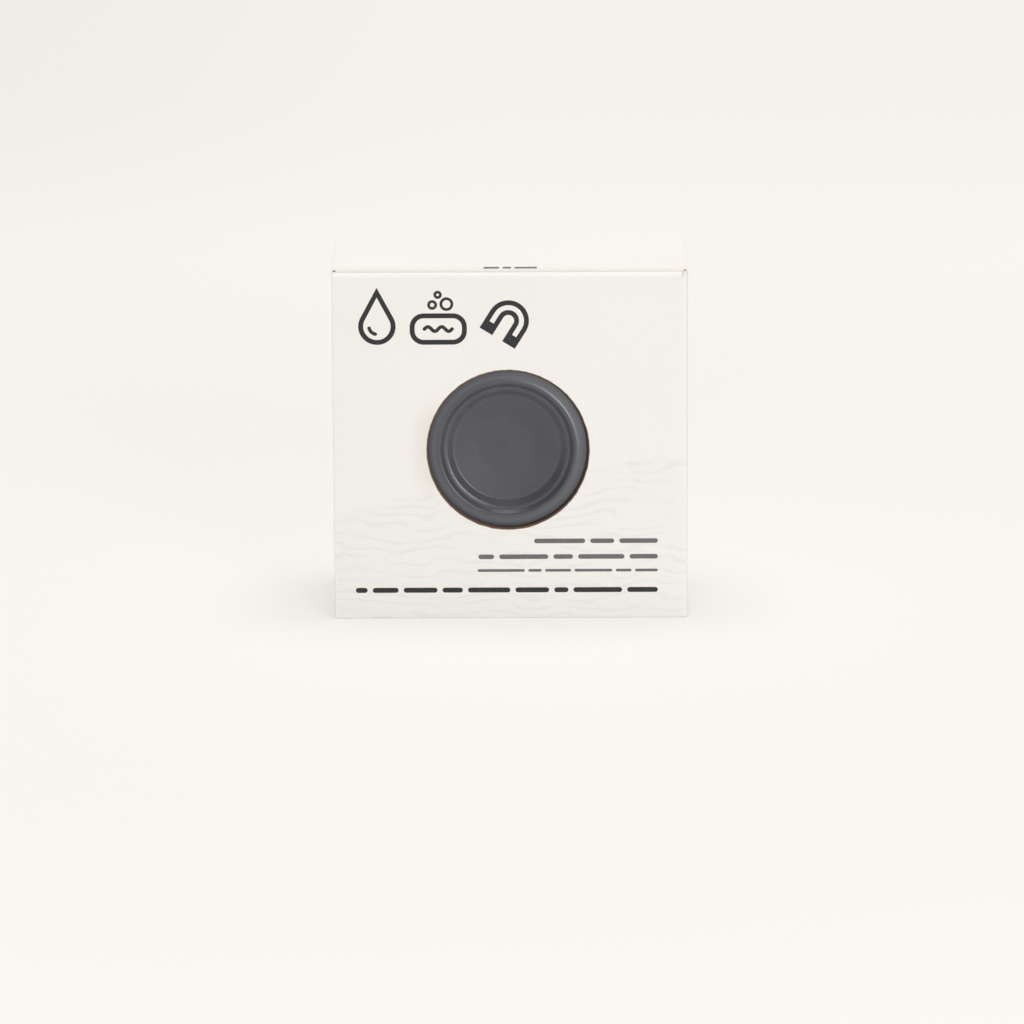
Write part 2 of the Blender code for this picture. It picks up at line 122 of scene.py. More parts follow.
def thicken(blank, joined, burnt_away=lambda spot: spot):
    """Give a flat blank its thickness and round its cut edges, apart from the joined ones."""
    for corner in blank.verts:
        corner.co.z = -board / 2
    lifted = bmesh.ops.extrude_face_region(blank, geom=blank.faces[:])
    for corner in lifted["geom"]:
        if isinstance(corner, bmesh.types.BMVert):
            corner.co.z = board / 2
    for corner in blank.verts:
        corner.co = burnt_away(corner.co)
    bmesh.ops.recalc_face_normals(blank, faces=blank.faces)
    rim = []
    for face in blank.faces:
        heights = [corner.co.z for corner in face.verts]
        if max(heights) - min(heights) > board / 2:
            face.material_index = 1
            rim += [edge for edge in face.edges
                    if abs(edge.verts[0].co.z - edge.verts[1].co.z) < board / 2
                    and not joined((edge.verts[0].co + edge.verts[1].co) / 2)]
    bmesh.ops.bevel(blank, geom=list(set(rim)), offset=cut_edge_round, offset_type="OFFSET",
                    segments=2, profile=0.5, affect="EDGES", clamp_overlap=True)


def add_piece(name, shape, finishes):
    """Turn a bmesh into a piece with smooth curves, crisp corners and its finishes."""
    bmesh.ops.recalc_face_normals(shape, faces=shape.faces)
    mesh = bpy.data.meshes.new(name)
    shape.to_mesh(mesh)
    shape.free()
    mesh.shade_smooth()
    mesh.set_sharp_from_angle(angle=math.radians(42))
    for finish in finishes:
        mesh.materials.append(finish)
    piece = bpy.data.objects.new(name, mesh)
    bpy.context.scene.collection.objects.link(piece)
    even = piece.modifiers.new("flat_faces_stay_flat", "WEIGHTED_NORMAL")
    even.keep_sharp = True
    return piece


def fold_blank(name, blank, place, node):
    """Fold a thickened blank into its shape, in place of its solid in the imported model."""
    for corner in blank.verts:
        corner.co = place(*corner.co)
    folded = add_piece(name, blank, [board_finish, cut_edge_finish])
    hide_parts(node)
    return folded


def new_finish(name, colour, roughness, gloss=0.5, metallic=0.0):
    """A finish's material, with its node tree and its shader."""
    finish = bpy.data.materials.new(name)
    finish.use_nodes = True
    tree = finish.node_tree
    shader = tree.nodes["Principled BSDF"]
    shader.inputs["Base Color"].default_value = (*colour, 1.0)
    shader.inputs["Roughness"].default_value = roughness
    shader.inputs["Specular IOR Level"].default_value = gloss
    shader.inputs["Metallic"].default_value = metallic
    return finish, tree, shader


def feed(tree, socket, value):
    """Link a socket to a socket, or set it to a plain number or colour."""
    if isinstance(value, bpy.types.NodeSocket):
        tree.links.new(value, socket)
    else:
        socket.default_value = value


def work_out(tree, operation, first, second=0.0):
    """One step of arithmetic in a material."""
    node = tree.nodes.new("ShaderNodeMath")
    node.operation = operation
    for socket, value in zip(node.inputs, (first, second)):
        feed(tree, socket, value)
    return node.outputs[0]


def times(tree, first, *others):
    """Several numbers of a material multiplied."""
    for other in others:
        first = work_out(tree, "MULTIPLY", first, other)
    return first


def distance_to(tree, first, second):
    """The long side of a right triangle, from its short sides."""
    square = work_out(tree, "ADD", times(tree, first, first), times(tree, second, second))
    return work_out(tree, "SQRT", square)


def fade(tree, value, low, high, at_low=0.0, at_high=1.0):
    """Go smoothly from one number to another while a value goes from low to high."""
    node = tree.nodes.new("ShaderNodeMapRange")
    node.interpolation_type = "SMOOTHSTEP"
    for socket, number in zip(node.inputs, (value, low, high, at_low, at_high)):
        feed(tree, socket, number)
    return node.outputs[0]


def spot_on_piece(tree):
    """Where a point lies on its piece, in metres, as one place and as x, y and z."""
    place = tree.nodes.new("ShaderNodeTexCoord").outputs["Object"]
    split = tree.nodes.new("ShaderNodeSeparateXYZ")
    tree.links.new(place, split.inputs[0])
    return place, *split.outputs


def grain(tree, place, scale, detail=3.0, stretch=(1.0, 1.0, 1.0), warp=0.0):
    """Soft noise on the piece, with its scale in grains per metre."""
    mapping = tree.nodes.new("ShaderNodeMapping")
    mapping.inputs["Scale"].default_value = stretch
    tree.links.new(place, mapping.inputs["Vector"])
    noise = tree.nodes.new("ShaderNodeTexNoise")
    tree.links.new(mapping.outputs[0], noise.inputs["Vector"])
    noise.inputs["Scale"].default_value = scale
    noise.inputs["Detail"].default_value = detail
    noise.inputs["Distortion"].default_value = warp
    return noise.outputs["Fac"]


def blended(tree, share, first, second):
    """A colour between two others."""
    node = tree.nodes.new("ShaderNodeMix")
    node.data_type = "RGBA"
    feed(tree, node.inputs[0], share)
    for socket, colour in ((node.inputs[6], first), (node.inputs[7], second)):
        feed(tree, socket, (*colour, 1.0) if isinstance(colour, tuple) else colour)
    return node.outputs[2]


def mottled(tree, pattern, dark, light, low=0.3, high=0.7):
    """A colour that wanders between two others with a pattern."""
    return blended(tree, fade(tree, pattern, low, high), dark, light)


def swayed(tree, pattern, reach):
    """A pattern as a shift to both sides of zero."""
    return times(tree, work_out(tree, "SUBTRACT", pattern, 0.5), reach)


def paint(tree, shader, colour):
    """Give a shader a colour that other nodes work out."""
    tree.links.new(colour, shader.inputs["Base Color"])


def emboss(tree, shader, height, depth, strength=0.6):
    """Raise the surface a little by a height pattern."""
    node = tree.nodes.new("ShaderNodeBump")
    node.inputs["Strength"].default_value = strength
    node.inputs["Distance"].default_value = depth
    tree.links.new(height, node.inputs["Height"])
    tree.links.new(node.outputs[0], shader.inputs["Normal"])


def outside_window(tree, x, z, reach_x, reach_z):
    """How far outside an ellipse round the window's middle a point lies, in metres."""
    across = work_out(tree, "DIVIDE", work_out(tree, "SUBTRACT", x, window_x), reach_x)
    up = work_out(tree, "DIVIDE", work_out(tree, "SUBTRACT", z, window_z), reach_z)
    return times(tree, work_out(tree, "SUBTRACT", distance_to(tree, across, up), 1.0), window_radius)


board_white = (0.893, 0.872, 0.832)
board_shade = (0.876, 0.856, 0.817)
layer_light, layer_dark = (0.83, 0.81, 0.77), (0.72, 0.70, 0.65)
scorch_brown = (0.130, 0.066, 0.034)
scorch_dark = (0.135, 0.072, 0.040)
scorch_reach_x, scorch_reach_z = 0.02070, 0.02078
scorch_fade, cut_scorch_fade, scorch_back_y = (-0.00012, 0.00014), (0.0002, 0.0006), (-0.0208, -0.0206)
scorch_flicker = 0.0003
smoke_tan = (0.74, 0.71, 0.63)
smoke_reach, smoke_strength, smoke_left_shares = 0.0062, 0.6, (0.76, 0.97)
front_skin_y = (-0.02215, -0.0220)
# Painted shade for the front panel's rolled top edge and the lid's front shoulder, and where it lies
crease_painted_shade = (0.775, 0.755, 0.70)
roll_painted_shade_z, roll_painted_shade_y = (0.0885, 0.0898), (-0.0214, -0.0211)
shoulder_painted_shade_z, shoulder_painted_shade_y = (0.0896, 0.0900), (-0.0198, -0.0188)
ripple_grey = (0.60, 0.605, 0.60)
ripple_wash, ripple_strength = 0.06, 0.16
ripple_pitch, ripple_crest = 0.0029, 0.15
ripple_swing, ripple_patches = 0.0125, (0.32, 0.58)
ripple_top_z, ripple_slope, ripple_fade = 0.0362, 0.165, (-0.0012, 0.0002)

board_finish, tree, shader = new_finish("white_folding_board", board_white, roughness=0.68, gloss=0.34)
place, x, y, z = spot_on_piece(tree)
fibres = grain(tree, place, scale=900.0, detail=6.0)
cloud = grain(tree, place, scale=30.0, detail=2.0)
tone = work_out(tree, "ADD", times(tree, fibres, 0.4), times(tree, cloud, 0.6))
colour = mottled(tree, tone, board_shade, board_white, 0.35, 0.65)
# Painted shade: the rolled top edge and the lid's shoulder are painted a darker, slightly yellower white,
# where the lamps would light them brighter than the rest of the board
roll_painted_shade = times(tree, fade(tree, z, *roll_painted_shade_z), fade(tree, y, *roll_painted_shade_y, 1.0, 0.0))
shoulder_painted_shade = times(tree, fade(tree, z, *shoulder_painted_shade_z), fade(tree, y, *shoulder_painted_shade_y, 1.0, 0.0))
colour = blended(tree, roll_painted_shade, colour, crease_painted_shade)
colour = blended(tree, shoulder_painted_shade, colour, crease_painted_shade)
on_front = fade(tree, y, *front_skin_y, 1.0, 0.0)
swing = swayed(tree, grain(tree, place, scale=62.0, detail=2.5, stretch=(1.0, 1.0, 1.9)), ripple_swing)
wave = times(tree, work_out(tree, "ADD", z, swing), 2 * math.pi / ripple_pitch)
crest = fade(tree, work_out(tree, "SINE", wave), ripple_crest, 1.0)
patches = fade(tree, grain(tree, place, scale=120.0, detail=2.0, stretch=(1.0, 1.0, 2.2)), *ripple_patches)
ripple_top = work_out(tree, "ADD", times(tree, x, ripple_slope), times(tree, swing, 0.5))
below_top = work_out(tree, "SUBTRACT", work_out(tree, "SUBTRACT", z, ripple_top), ripple_top_z)
rippled = times(tree, on_front, fade(tree, below_top, *ripple_fade, 1.0, 0.0))
colour = blended(tree, times(tree, rippled, ripple_wash), colour, ripple_grey)
colour = blended(tree, times(tree, rippled, crest, patches, ripple_strength), colour, ripple_grey)
rim_distance = outside_window(tree, x, z, window_radius, window_radius)
left_share = work_out(tree, "DIVIDE", work_out(tree, "SUBTRACT", window_x, x),
                      work_out(tree, "ADD", rim_distance, window_radius))
smoke = times(tree, fade(tree, left_share, *smoke_left_shares),
              fade(tree, rim_distance, 0.0, smoke_reach, smoke_strength, 0.0))
colour = blended(tree, times(tree, smoke, on_front), colour, smoke_tan)
flicker = swayed(tree, grain(tree, place, scale=700.0), scorch_flicker)
scorch = work_out(tree, "ADD", outside_window(tree, x, z, scorch_reach_x, scorch_reach_z), flicker)
scorch = times(tree, fade(tree, scorch, *scorch_fade, 1.0, 0.0), fade(tree, y, *scorch_back_y, 1.0, 0.0))
paint(tree, shader, blended(tree, scorch, colour, scorch_brown))
emboss(tree, shader, fibres, depth=0.000010)

cut_edge_finish, tree, shader = new_finish("board_cut_edge", layer_light, roughness=0.85, gloss=0.2)
place, x, y, z = spot_on_piece(tree)
layers = grain(tree, place, scale=2600.0)
colour = mottled(tree, layers, layer_dark, layer_light, 0.35, 0.65)
rim_distance = outside_window(tree, x, z, window_radius, window_radius)
scorch = times(tree, fade(tree, rim_distance, *cut_scorch_fade, 1.0, 0.0),
               fade(tree, y, *scorch_back_y, 1.0, 0.0))
paint(tree, shader, blended(tree, scorch, colour, scorch_dark))
emboss(tree, shader, layers, depth=0.00003)

front_mid_y = -outer_y + ink_room + board / 2
back_mid_y = outer_y - board / 2
glue_mid_y = front_mid_y + board + glue_room
front_run = corner_x - seam_x
sleeve_legs = [
    (front_run, 0.0), bend(corner_bend),
    (back_mid_y - front_mid_y - 2 * corner_bend, 0.0), bend(corner_bend),
    (2 * corner_x, 0.0), bend(corner_bend),
    (back_mid_y - glue_mid_y - 2 * corner_bend, 0.0), bend(corner_bend),
]
leg_ends = [sum(leg[0] for leg in sleeve_legs[:count]) for count in range(1, len(sleeve_legs) + 1)]
right_side, right_back, back_start, back_end, left_side, left_front, sleeve_length = leg_ends[1:]
sleeve_path = ((seam_x, front_mid_y), 0.0, sleeve_legs)


def sleeve_place(around, height, depth):
    """Fold a point of the sleeve's blank: round the panels, and over the front panel's ends."""
    on_front_panel = around < front_run + corner_slit / 2
    if on_front_panel and height > roll_start_z:
        angle = (height - roll_start_z) / roll_bend
        reach = roll_bend - depth
        return (seam_x + around, front_mid_y + roll_bend - reach * math.cos(angle),
                roll_start_z + reach * math.sin(angle))
    if on_front_panel and height < fold_start_z:
        angle = (fold_start_z - height) / fold_bend
        reach = fold_bend - depth
        forward, down = (max(0.0, share) ** fold_squareness for share in (math.cos(angle), math.sin(angle)))
        return seam_x + around, front_mid_y + fold_bend - reach * forward, fold_start_z - reach * down
    x, y, heading = follow(sleeve_path, around)
    return x - depth * math.sin(heading), y + depth * math.cos(heading), height


def panel_heights(base, top):
    """Rows of a panel, with closer ones near its ends and a row at each end of the seam fold."""
    return ([base, base + edge_margin, base + inner_margin, base + end_margin]
            + spread(seam_low_z, seam_high_z, seam_steps)
            + [top - end_margin, top - inner_margin, top - edge_margin, top])


blank = bmesh.new()
seam_rows = slice(5, 6 + seam_steps)
side_rows = panel_heights(fold_start_z, roll_start_z)
ring_shares = (0.0, 0.03, 0.06, 0.12, 0.25, 0.50, 0.75, 0.93, 1.0)
columns = [0.0, edge_margin, inner_margin] + spread(column_margin, front_run - column_margin, 38)
columns += [front_run - inner_margin, front_run - edge_margin, front_run]
border = [(around, fold_start_z) for around in columns[:-1]]
border += [(front_run, height) for height in side_rows[:-1]]
border += [(around, roll_start_z) for around in reversed(columns[1:])]
border += [(0.0, height) for height in reversed(side_rows[1:])]
window_middle = Vector((window_x - seam_x, window_z, 0.0))
rings = []
for share in ring_shares:
    ring = []
    for around, height in border:
        edge = Vector((around, height, 0.0))
        rim = window_middle + (edge - window_middle).normalized() * window_radius
        ring.append(blank.verts.new(rim.lerp(edge, share)))
    rings.append(ring)
for inner, outer in zip(rings, rings[1:]):
    bridge(blank, inner + inner[:1], outer + outer[:1])
border = rings[-1]
right_start = len(columns) - 1
top_start = right_start + len(side_rows) - 1
for row, start, reach in ((border[top_start:top_start + len(columns)], roll_start_z, roll_bend * roll_angle),
                          (border[:len(columns)], fold_start_z, -fold_bend * quarter)):
    for height in spread(start, start + reach, 10)[1:]:
        next_row = [blank.verts.new((corner.co.x, height, 0.0)) for corner in row]
        bridge(blank, row, next_row)
        row = next_row

top_corners = [
    (front_run, corner_top_z), (right_side, corner_top_z), (right_side + corner_step, side_top_z),
    (right_back, side_top_z), (back_start, back_top_z), (back_end, back_top_z), (left_side, side_top_z),
    (left_front - corner_step, side_top_z), (left_front, corner_top_z), (sleeve_length, corner_top_z)]
base_corners = [
    (front_run, corner_base_z), (right_side, corner_base_z), (right_side + corner_step, side_base_z),
    (left_front - corner_step, side_base_z), (left_front, corner_base_z), (sleeve_length, corner_base_z)]


def sleeve_heights(around):
    """Rows of the side and back panels, with one level with each end of the front panel's slits."""
    base, top = edge_height(base_corners, around), edge_height(top_corners, around)
    rows = panel_heights(base + fold_start_z - corner_base_z, top + roll_start_z - corner_top_z)
    return [base] + rows + [top]


slit_end = front_run + corner_slit
column = [blank.verts.new((slit_end, height, 0.0)) for height in sleeve_heights(slit_end)]
bridge(blank, border[right_start:right_start + len(side_rows)], column[1:-1])
for start, end, (length, turn) in zip([slit_end] + leg_ends[1:], leg_ends[1:], sleeve_legs[1:]):
    if turn:
        places = spread(start, end, 12)[1:]
    else:
        places = [start + corner_step] + spread(start + panel_margin, end - panel_margin, 6)
        places += [end - corner_step, end]
    for around in places:
        heights = sleeve_heights(around)
        if around > left_front + corner_kept:
            heights = heights[seam_rows]
            column = column[seam_rows] if len(column) > len(heights) else column
        next_column = [blank.verts.new((around, height, 0.0)) for height in heights]
        bridge(blank, column, next_column)
        column = next_column


def sleeve_joined(spot):
    """Edges that run on into the lid, the outer bottom flap and the glue flap, and slit ends."""
    return (spot.y > back_top_z - edge_room and spot.x > back_start - edge_room
            or abs(spot.x - front_run - corner_slit / 2) < same_spot
            or spot.y < fold_start_z - fold_bend * quarter + edge_room
            or spot.x > sleeve_length - edge_room)


def burnt_rim(spot):
    """Widen the window at the outer face, where the laser has burnt the rim away."""
    out = Vector((spot.x, spot.y, 0.0)) - window_middle
    if spot.z < 0 and out.length < window_radius + same_spot:
        out = out.normalized() * window_face_radius
    return window_middle + out + Vector((0.0, 0.0, spot.z))


thicken(blank, sleeve_joined, burnt_rim)
sleeve = fold_blank("carton_sleeve_folded", blank, sleeve_place, "carton_sleeve")
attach(sleeve, "carton")

# Glue flap and bottom: the sleeve's last fold carries on as a narrow flap that is glued behind
# the front panel. The outer bottom flap is the end of the front panel's fold, and is glued over
# the inner flap and the two small side flaps.
glue_flap_length = 0.0110
glue_flap_taper = 0.0035
flap_half_width = 0.0443
flap_back_y = 0.0218
flap_start_y = front_mid_y + fold_bend
flap_left_x = seam_x + 0.0001
flap_step, flap_end_margin = 0.0026, 0.0005


def flap_blank(rows, columns=10):
    """Lay out a flap from rows of (distance from the fold, low side, high side)."""
    blank = bmesh.new()
    last = None
    for distance, low, high in rows:
        margin = min(edge_margin, (high - low) / 8)
        sides = [low] + spread(low + margin, high - margin, columns) + [high]
        row = [blank.verts.new((distance, side, 0.0)) for side in sides]
        if last:
            bridge(blank, last, row)
        last = row
    return blank


def starts_joined(spot):
    """The edge where a flap carries on from its panel."""
    return spot.x < same_spot


rows = []
for share in (0.0, 0.05, 0.95, 1.0):
    narrower = glue_flap_taper * share
    rows.append((glue_flap_length * share, seam_low_z + narrower, seam_high_z - narrower))
blank = flap_blank(rows)
thicken(blank, starts_joined)
glue_flap = fold_blank("glue_flap_folded", blank,
                       lambda out, height, depth: (-corner_x + out, glue_mid_y + depth, height), "glue_flap")
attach(glue_flap, "carton")

flap_end = flap_back_y - flap_start_y
rows = [(distance, flap_left_x, corner_x) for distance in (0.0, edge_margin, inner_margin)]
rows += [(distance, -flap_half_width, flap_half_width)
         for distance in (flap_step, flap_step + edge_margin, flap_end - flap_end_margin, flap_end)]
blank = flap_blank(rows)
thicken(blank, starts_joined)
outer_flap = fold_blank("bottom_outer_flap_folded", blank,
                        lambda out, side, depth: (side, flap_start_y + out, board / 2 + depth),
                        "bottom_outer_flap")
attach(outer_flap, "carton")


def finish_node(name, finish, edge_round, segments=2):
    """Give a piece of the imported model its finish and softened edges."""
    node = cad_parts[name]
    node.data.materials.clear()
    node.data.materials.append(finish)
    soften = node.modifiers.new("softened_edges", "BEVEL")
    soften.width = edge_round
    soften.segments = segments
    soften.limit_method = "ANGLE"
    soften.angle_limit = math.radians(40)
    even = node.modifiers.new("flat_faces_stay_flat", "WEIGHTED_NORMAL")
    even.keep_sharp = True


for name in ("bottom_inner_flap", "bottom_dust_flap_left", "bottom_dust_flap_right"):
    finish_node(name, board_finish, cut_edge_round)

# Lid: the back panel's end. It folds forward over the carton, and its front edge is rolled
# down in a soft shoulder that the tuck flap hangs from.
lid_hinge_y, lid_hinge_z = back_mid_y, 0.0907
crease_bend = 0.0007
lid_step_start, lid_step_end, shoulder_margin = 0.0005, 0.0012, 0.0006
shoulder_bend = 0.0015
shoulder_turn = math.radians(60)
shoulder_start_y = -0.01895
lid_half_width, shoulder_half_width = 0.0448, 0.0440
crease_length = crease_bend * quarter
lid_run = lid_hinge_y - crease_bend - shoulder_start_y
shoulder_length = shoulder_bend * shoulder_turn
lid_length = crease_length + lid_run + shoulder_length
lid_path = ((back_mid_y, back_top_z), quarter,
            [bend(crease_bend), (lid_run, 0.0), bend(shoulder_bend, shoulder_turn)])


def lid_place(distance, side, depth):
    """Fold a point of the lid's blank over the back crease and down the front shoulder."""
    y, z, heading = follow(lid_path, distance)
    return side, y - depth * math.sin(heading), z + depth * math.cos(heading)


rows = [(distance, -corner_x, corner_x) for distance in spread(0.0, crease_length, 14)]
rows += [(crease_length + lid_step_start, -corner_x, corner_x)]
lid_rows = [lid_step_end, lid_step_end + edge_margin]
lid_rows += spread(column_margin, lid_run - panel_margin, 8) + [lid_run - shoulder_margin]
lid_rows += [lid_run + distance for distance in spread(0.0, shoulder_length - edge_margin, 8)]
rows += [(crease_length + distance, -lid_half_width, lid_half_width) for distance in lid_rows]
rows += [(lid_length, -lid_half_width, lid_half_width)]
blank = flap_blank(rows, columns=24)
thicken(blank, lambda spot: spot.x < same_spot or spot.x > lid_length - same_spot)
lid = fold_blank("lid_folded", blank, lid_place, "lid_panel")
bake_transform(lid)

# Tuck flap: it carries on from the lid's shoulder and slips in behind the front panel. Its
# corners are rounded so that it finds its way in.
tuck_bend = 0.00119
tuck_turn = math.radians(45.5)
tuck_lead = 0.0002
tuck_length = 0.0125
tuck_half_width = 0.0436
tuck_corner, tuck_corner_turn = 0.0080, math.radians(86)
shoulder_end_y, shoulder_end_z, shoulder_heading = follow(lid_path, lid_length)
tuck_crease_length = tuck_bend * tuck_turn
tuck_path = ((shoulder_end_y, shoulder_end_z), shoulder_heading,
             [(tuck_lead, 0.0), bend(tuck_bend, tuck_turn), (tuck_length, 0.0)])


def tuck_place(distance, side, depth):
    """Fold a point of the tuck flap's blank down behind the front panel."""
    y, z, heading = follow(tuck_path, distance)
    return side, y - depth * math.sin(heading), z + depth * math.cos(heading)


flap_from = tuck_lead + tuck_crease_length
rows = [(0.0, -shoulder_half_width, shoulder_half_width)]
rows += [(distance, -shoulder_half_width, shoulder_half_width)
         for distance in spread(tuck_lead, flap_from, 12)]
rows += [(flap_from + distance, -tuck_half_width, tuck_half_width)
         for distance in (edge_margin, 2 * edge_margin, tuck_length - tuck_corner - shoulder_margin)]
for angle in spread(0.0, tuck_corner_turn, 12):
    side = tuck_half_width - tuck_corner * (1 - math.cos(angle))
    rows.append((flap_from + tuck_length - tuck_corner * (1 - math.sin(angle)), -side, side))
blank = flap_blank(rows, columns=24)
thicken(blank, starts_joined)
tuck = fold_blank("tuck_flap_folded", blank, tuck_place, "lid_tuck_flap")
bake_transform(tuck)

# Dust flaps: one folds in from each side panel's top, under the lid. Its back corner is cut at
# a slant so that it clears the lid when it comes up.
dust_hinge_x, dust_hinge_z = 0.0446, 0.0896
dust_front, dust_back = -0.0180, 0.0201
dust_front_slant, dust_back_slant = 0.0030, 0.0140
dust_length = 0.0270
dust_run = dust_length - crease_bend
dust_path = ((dust_hinge_x, side_top_z), quarter, [bend(crease_bend), (dust_run, 0.0)])
for name, hand in (("dust_flap_left", -1), ("dust_flap_right", 1)):
    def dust_place(distance, along, depth):
        """Fold a point of the dust flap's blank in from its side panel."""
        x, z, heading = follow(dust_path, distance)
        return hand * (x - depth * math.sin(heading)), along, z + depth * math.cos(heading)

    rows = [(distance, dust_front, dust_back) for distance in spread(0.0, crease_length, 14)]
    for share in (0.02, 0.25, 0.5, 0.75, 0.98, 1.0):
        rows.append((crease_length + dust_run * share, dust_front + dust_front_slant * share,
                     dust_back - dust_back_slant * share))
    blank = flap_blank(rows, columns=14)
    thicken(blank, starts_joined)
    dust_flap = fold_blank(name + "_folded", blank, dust_place, name)
    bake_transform(dust_flap)

# Print on the carton: thin black and grey ink, laid on the front panel and on the lid's
# shoulder. It is plain and generic: a drop, a bar of soap and a magnet in line, and rows of
# round-ended bars.
ink_thickness = 0.00002
ink_sunk = 0.000005
ink_y = -outer_y + ink_room
ink_black, ink_grey = (0.014, 0.014, 0.016), (0.13, 0.13, 0.13)
line_width, thin_line, fine_line = 0.00125, 0.0009, 0.0007
least_lean = 0.5


def ink_finish(name, colour, bare_share):
    """Printing ink with the paper's grain showing through a little."""
    finish, tree, shader = new_finish(name, colour, roughness=0.55, gloss=0.4)
    place = spot_on_piece(tree)[0]
    speck = fade(tree, grain(tree, place, scale=3000.0), 0.52, 0.75)
    paint(tree, shader, blended(tree, times(tree, speck, bare_share), colour, board_white))
    emboss(tree, shader, grain(tree, place, scale=900.0, detail=6.0), depth=0.000010)
    return finish


def print_ink(name, outlines, finish, place, body):
    """Print closed outlines as one thin layer of ink. An outline is an outer and an inner loop."""
    layer = bmesh.new()
    for outer, inner in outlines:
        backs, fronts = [], []
        for loop in (outer, inner) if inner else (outer,):
            backs.append([layer.verts.new(place(a, b, 0.0)) for a, b in loop])
            fronts.append([layer.verts.new(place(a, b, ink_thickness)) for a, b in loop])
        for back, front in zip(backs, fronts):
            bridge(layer, back + back[:1], front + front[:1])
        for sheet in (backs, fronts):
            if inner:
                bridge(layer, sheet[0] + sheet[0][:1], sheet[1] + sheet[1][:1])
            else:
                layer.faces.new(sheet[0])
    ink = add_piece(name, layer, [finish])
    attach(ink, body)


def line_round(points, width):
    """A closed line of a given width along a loop of points."""
    outer, inner = [], []
    for step, point in enumerate(points):
        before, after = Vector(points[step - 1]), Vector(points[(step + 1) % len(points)])
        here = Vector(point)
        way = ((here - before).normalized() + (after - here).normalized()).normalized()
        lean = max(least_lean, way.dot((after - here).normalized()))
        side = Vector((way.y, -way.x)) * width / 2 / lean
        outer.append(tuple(here + side))
        inner.append(tuple(here - side))
    return outer, inner


def arc(centre, radius, start, end, steps):
    """Points of an arc, with its angles in degrees."""
    return [(centre[0] + radius * math.cos(math.radians(angle)),
             centre[1] + radius * math.sin(math.radians(angle))) for angle in spread(start, end, steps)]


def rounded_box(middle, half_width, half_height, radius, steps=10):
    """The outline of a box with round corners."""
    points = []
    for start, side, up in ((0, 1, 1), (90, -1, 1), (180, -1, -1), (270, 1, -1)):
        corner = (middle[0] + side * (half_width - radius), middle[1] + up * (half_height - radius))
        points += arc(corner, radius, start, start + 90, steps)
    return points


def open_line(points, width):
    """A line of a given width along an open row of points, with round ends."""
    left, right = [], []
    for step, point in enumerate(points):
        here = Vector(point)
        way = (Vector(points[min(step + 1, len(points) - 1)]) - Vector(points[max(step - 1, 0)])).normalized()
        side = Vector((-way.y, way.x)) * width / 2
        left.append(tuple(here + side))
        right.append(tuple(here - side))
    ends = []
    for (tip, beyond) in ((points[-1], points[-2]), (points[0], points[1])):
        way = (Vector(tip) - Vector(beyond)).normalized()
        heading = math.degrees(math.atan2(way.y, way.x))
        ends.append(arc(tip, width / 2, heading + 90, heading - 90, 8)[1:-1])
    return left + ends[0] + right[::-1] + ends[1], None


def front_place(x, z, rise):
    """On the front panel's outer face."""
    return x, ink_y + ink_sunk - rise, z


black_ink = ink_finish("black_ink", ink_black, bare_share=0.03)
grey_ink = ink_finish("grey_ink", ink_grey, bare_share=0.10)

drop_x, drop_z, drop_radius, drop_tip, drop_angle = -0.0336, 0.0760, 0.0041, 0.0087, 27
shine_radius, shine_start, shine_end = 0.0020, 192, 258
drop = [(drop_x, drop_z + drop_tip)] + arc((drop_x, drop_z), drop_radius, drop_angle, -180 - drop_angle, 40)
shine = open_line(arc((drop_x, drop_z), shine_radius, shine_start, shine_end, 12), thin_line)
print_ink("print_drop", [line_round(drop, line_width), shine], black_ink, front_place, "carton")

soap_x, soap_z, soap_half_width, soap_half_height, soap_corner = -0.0181, 0.0753, 0.0066, 0.0034, 0.0029
suds_height, suds_half_width = 0.0006, 0.0035
bubble_places = ((0.0021, 0.0064, 0.0014), (-0.0015, 0.0062, 0.0009), (-0.0001, 0.0088, 0.0007))
soap = rounded_box((soap_x, soap_z), soap_half_width, soap_half_height, soap_corner)
suds = [(soap_x + across, soap_z + suds_height * math.sin(across / (2 * suds_half_width) * 4 * math.pi))
        for across in spread(-suds_half_width, suds_half_width, 24)]
bubbles = [line_round(arc((soap_x + across, soap_z + up), radius, 0, 345, 23), fine_line)
           for across, up, radius in bubble_places]
print_ink("print_soap_bar", [line_round(soap, line_width), open_line(suds, thin_line)] + bubbles,
          black_ink, front_place, "carton")

magnet_middle = (-0.0004, 0.0774)
magnet_turn = math.radians(-32)
magnet_outer, magnet_inner, magnet_leg, magnet_tip = 0.0046, 0.0021, 0.0047, 0.0021


def magnet_spot(across, up):
    """Turn a point of the magnet's drawing to its slant."""
    return (magnet_middle[0] + across * math.cos(magnet_turn) - up * math.sin(magnet_turn),
            magnet_middle[1] + across * math.sin(magnet_turn) + up * math.cos(magnet_turn))


horseshoe = [(magnet_outer, -magnet_leg)] + arc((0.0, 0.0), magnet_outer, 0, 180, 32)
horseshoe += [(-magnet_outer, -magnet_leg), (-magnet_inner, -magnet_leg)]
horseshoe += arc((0.0, 0.0), magnet_inner, 180, 0, 24) + [(magnet_inner, -magnet_leg)]
tip_low, tip_high = -magnet_leg + line_width / 2 + ink_sunk, -magnet_leg + magnet_tip
tip_near, tip_far = magnet_inner + line_width / 2 + ink_sunk, magnet_outer - line_width / 2 - ink_sunk
tips = []
for side in (-1, 1):
    corners = ((tip_near, tip_low), (tip_far, tip_low), (tip_far, tip_high), (tip_near, tip_high))
    tips.append(([magnet_spot(side * across, up) for across, up in corners], None))
print_ink("print_magnet", [line_round([magnet_spot(*spot) for spot in horseshoe], line_width)] + tips,
          black_ink, front_place, "carton")

rows_right = 0.0374
bar_high, bar_low, bar_black = 0.0012, 0.0007, 0.0013
bar_gap, bar_low_gap = 0.0013, 0.0009


